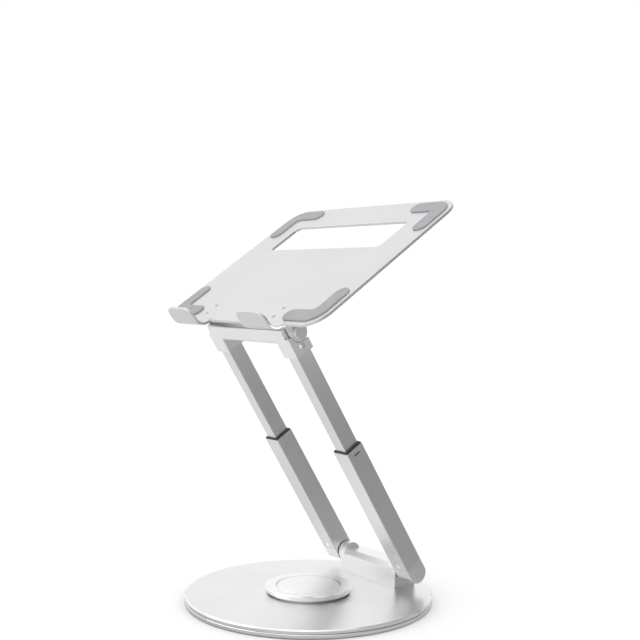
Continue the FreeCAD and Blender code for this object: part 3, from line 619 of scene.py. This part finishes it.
def makeCamera(setup):
    azimuth, elevation, roll = (math.radians(setup[k]) for k in ("azimuth", "elevation", "roll"))
    level = math.cos(elevation)
    back = Vector((math.sin(azimuth) * level, -math.cos(azimuth) * level, math.sin(elevation)))
    right = Vector((0, 0, 1)).cross(back).normalized()
    up = back.cross(right)
    tiltedRight = right * math.cos(roll) + up * math.sin(roll)
    tiltedUp = back.cross(tiltedRight)
    data = bpy.data.cameras.new("camera")
    data.lens = setup["lens"]
    data.sensor_width = setup["sensor"]
    data.clip_start, data.clip_end = setup["clip"]
    camera = bpy.data.objects.new("camera", data)
    bpy.context.scene.collection.objects.link(camera)
    turn = Matrix((tiltedRight, tiltedUp, back)).transposed().to_4x4()
    camera.matrix_world = Matrix.Translation(Vector(setup["place"])) @ turn
    bpy.context.scene.camera = camera


# the floor is a darker pale tone in reflections than it is to the camera
floorSetup = {
    "half": 12.0, "colour": (0.93, 0.93, 0.93, 1), "reflected": (0.70, 0.70, 0.70, 1),
    "roughness": 0.9,
}


def makeFloor(setup):
    half = setup["half"]
    mesh = bpy.data.meshes.new("floor")
    corners = [(-half, -half, 0), (half, -half, 0), (half, half, 0), (-half, half, 0)]
    mesh.from_pydata(corners, [], [(0, 1, 2, 3)])
    floor = bpy.data.objects.new("floor", mesh)
    bpy.context.scene.collection.objects.link(floor)
    material, tree, shader = startMaterial("paleFloor")
    glossy = addNode(tree, "ShaderNodeLightPath", (2, 0)).outputs["Is Glossy Ray"]
    tone = mixColour(tree, glossy, setup["colour"], setup["reflected"], (4, 0))
    feed(tree, shader.inputs["Base Color"], tone)
    feed(tree, shader.inputs["Roughness"], setup["roughness"])
    shader.inputs["Specular IOR Level"].default_value = 0.0
    mesh.materials.append(material)


lightAim = (0, 0, 0.2)
lightSetup = {
    "key": {"place": (-1.6, -1.6, 2.2), "size": 1.8, "power": 6},
    "top": {"place": (0.1, 0.2, 2.6), "size": 2.2, "power": 3},
    "front": {"place": (1.2, -2.2, 0.9), "size": 1.4, "power": 1.5},
}


def makeLights(setup):
    middle = Vector(lightAim)
    for name, values in setup.items():
        data = bpy.data.lights.new(name, "AREA")
        data.shape = "SQUARE"
        data.size = values["size"]
        data.energy = values["power"]
        light = bpy.data.objects.new(name, data)
        bpy.context.scene.collection.objects.link(light)
        light.location = values["place"]
        light.rotation_mode = "QUATERNION"
        light.rotation_quaternion = (middle - light.location).to_track_quat("-Z", "Y")


worldSetup = {
    "bright": 1.0, "fill": 1.12, "dark": 0.34, "side": (0.79, 0.61, 0.05), "from": -0.1, "to": 0.9,
}


def makeWorld(setup):
    # white all round; reflections also meet a dim side behind the stand on its right
    world = bpy.data.worlds.new("studio")
    bpy.context.scene.world = world
    world.use_nodes = True
    tree = world.node_tree
    tree.nodes.clear()
    direction = addNode(tree, "ShaderNodeTexCoord", (-4, 0)).outputs["Generated"]
    dot = addNode(tree, "ShaderNodeVectorMath", (-3, 0), operation="DOT_PRODUCT")
    feed(tree, dot.inputs[0], direction)
    feed(tree, dot.inputs[1], Vector(setup["side"]).normalized())
    span = (setup["from"], setup["to"])
    levels = (setup["bright"], setup["dark"])
    level = rangeNode(tree, dot.outputs["Value"], (-2, 0), span, levels, smooth=True)
    path = addNode(tree, "ShaderNodeLightPath", (-3, 2))
    dimming = mathNode(tree, "SUBTRACT", (-1, 0), setup["bright"], level)
    dimmed = mathNode(tree, "MULTIPLY", (0, 0), dimming, path.outputs["Is Glossy Ray"])
    gain = setup["fill"] - setup["bright"]
    extra = mathNode(tree, "MULTIPLY", (-1, 2), path.outputs["Is Diffuse Ray"], gain)
    seen = mathNode(tree, "SUBTRACT", (0, 2), setup["bright"], dimmed)
    strength = mathNode(tree, "ADD", (0, 1), seen, extra)
    background = addNode(tree, "ShaderNodeBackground", (1, 0))
    background.inputs["Color"].default_value = (1, 1, 1, 1)
    feed(tree, background.inputs["Strength"], strength)
    output = addNode(tree, "ShaderNodeOutputWorld", (2, 0))
    tree.links.new(background.outputs[0], output.inputs["Surface"])


# cards that only reflections see: tone, light given off, middle, facing angle, half width, then
# lower and upper edge for a standing card, or near and far edge for one lying just over the floor
cardSetup = {
    "side": {
        "tone": 0.26, "glow": 0.0, "middle": (0.49, 0.38), "angle": 37.7, "half": 0.75,
        "span": (0.0, 0.42),
    },
    "strip": {
        "tone": 0.9, "glow": 0.6, "middle": (0.56, 0.235), "angle": 31.0, "half": 0.05,
        "span": (0.24, 0.33),
    },
    "ground": {
        "tone": 0.30, "glow": 0.0, "middle": (0.0, 0.0), "angle": 37.7, "half": 0.6,
        "floor": (0.15, 0.61), "lift": 2 * mm,
    },
}


def makeCards(setup):
    for name, values in setup.items():
        material, tree, shader = startMaterial("card_" + name)
        tone = values["tone"]
        feed(tree, shader.inputs["Base Color"], (tone, tone, tone, 1))
        shader.inputs["Roughness"].default_value = 1.0
        shader.inputs["Specular IOR Level"].default_value = 0.0
        shader.inputs["Emission Color"].default_value = (1, 1, 1, 1)
        shader.inputs["Emission Strength"].default_value = values["glow"]
        angle = math.radians(values["angle"])
        out = Vector((math.cos(angle), math.sin(angle), 0))
        side = Vector((math.sin(angle), -math.cos(angle), 0)) * values["half"]
        middle = Vector((*values["middle"], 0))
        if "span" in values:
            lower, upper = (Vector((0, 0, height)) for height in values["span"])
        else:
            lift = Vector((0, 0, values["lift"]))
            lower, upper = (out * reach + lift for reach in values["floor"])
        mesh = bpy.data.meshes.new("card_" + name)
        left, right = middle - side, middle + side
        corners = [left + lower, right + lower, right + upper, left + upper]
        mesh.from_pydata(corners, [], [(0, 1, 2, 3)])
        mesh.materials.append(material)
        card = bpy.data.objects.new("card_" + name, mesh)
        bpy.context.scene.collection.objects.link(card)
        for rayKind in ("camera", "diffuse", "shadow", "transmission"):
            setattr(card, "visible_" + rayKind, False)


makeCamera(cameraSetup)
makeCards(cardSetup)
makeFloor(floorSetup)
makeLights(lightSetup)
makeWorld(worldSetup)
bpy.context.scene.view_settings.view_transform = "Standard"
print("camera, floor and lights placed")
